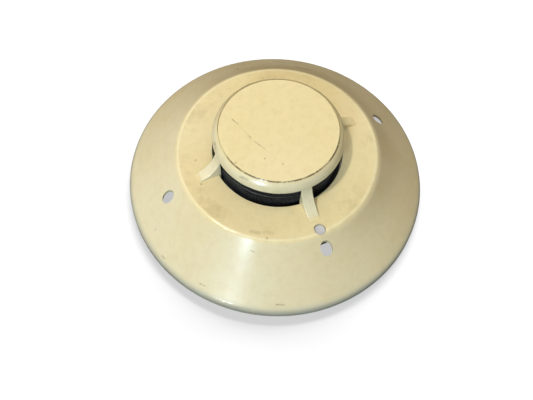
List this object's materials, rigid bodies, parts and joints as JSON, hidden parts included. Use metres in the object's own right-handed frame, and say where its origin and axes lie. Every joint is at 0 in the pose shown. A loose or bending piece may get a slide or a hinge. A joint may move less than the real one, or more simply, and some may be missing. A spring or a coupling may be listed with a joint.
{
  "type": "smoke detector",
  "caption": "Ceiling smoke detector: wide conical ivory cover with a flat plateau, a raised round cap on curved ribs and a black insect screen in the smoke gap.",
  "frame": {"origin": "centre of the mounting plane, where the base's back and the cover's rim meet the ceiling", "axes": "+Z away from the ceiling, through the cap; +X along the line of the wider-spaced mounting slots"},
  "size_m": [0.156, 0.156, 0.0465],
  "materials": {
    "ivory_plastic": "semi-gloss moulded ABS, yellowed with age",
    "base_plastic": "satin moulded plastic, less yellowed",
    "black_plastic": "dull black moulded plastic",
    "screen_mesh": "black fine woven insect mesh",
    "seal_foam": "closed-cell foam",
    "spring_brass": "tinned brass and bronze, satin",
    "plated_steel": "zinc-plated steel",
    "board_laminate": "glass-epoxy board with green solder mask",
    "chip_body": "black moulded epoxy",
    "chip_ceramic": "tan ceramic with tinned ends",
    "capacitor_can": "bright aluminium cans on black feet",
    "reed_glass": "clear glass with tinned leads",
    "led_lens": "red tinted epoxy",
    "infrared_epoxy": "smoky blue-black epoxy",
    "button_plastic": "pale grey translucent plastic",
    "plunger_plastic": "red moulded plastic"
  },
  "bodies": {
    "base": {"mounting_base": "base_plastic", "terminal_clips": "spring_brass", "clamp_plates": "plated_steel", "terminal_screws": "plated_steel"},
    "head": {"rear_housing": "base_plastic", "contact_pads": "spring_brass", "contact_posts": "spring_brass", "circuit_board": "board_laminate", "controller_ic": "chip_body", "electrolytic_capacitors": "capacitor_can", "chip_resistors": "chip_body", "chip_capacitors": "chip_ceramic", "bridge_rectifier": "chip_body", "reed_switch": "reed_glass", "status_led": "led_lens", "test_switch": "chip_body", "deck_plate": "base_plastic", "deck_screws": "plated_steel", "chamber_base": "black_plastic", "ir_emitter": "infrared_epoxy", "photodiode": "infrared_epoxy", "shield_can": "plated_steel", "labyrinth": "black_plastic", "insect_screen": "screen_mesh", "dust_seal": "seal_foam"},
    "cover_shell": {"cover": "ivory_plastic", "cap_disc": "ivory_plastic"},
    "button": {"test_button": "button_plastic", "switch_plunger": "plunger_plastic"}
  },
  "joints": [
    {"name": "head_twist", "type": "hinge", "parent": "base", "child": "head", "pos_m": [0, 0, 0], "axis": [0, 0, 1], "range_deg": [0, 20]},
    {"name": "cover_lift", "type": "slide", "parent": "head", "child": "cover_shell", "axis": [0, 0, 1], "range_m": [0, 0.05]},
    {"name": "test_button_press", "type": "slide", "parent": "head", "child": "button", "axis": [0, 0, -1], "range_m": [0, 0.0008], "stiffness_N_per_m": 900}
  ]
}
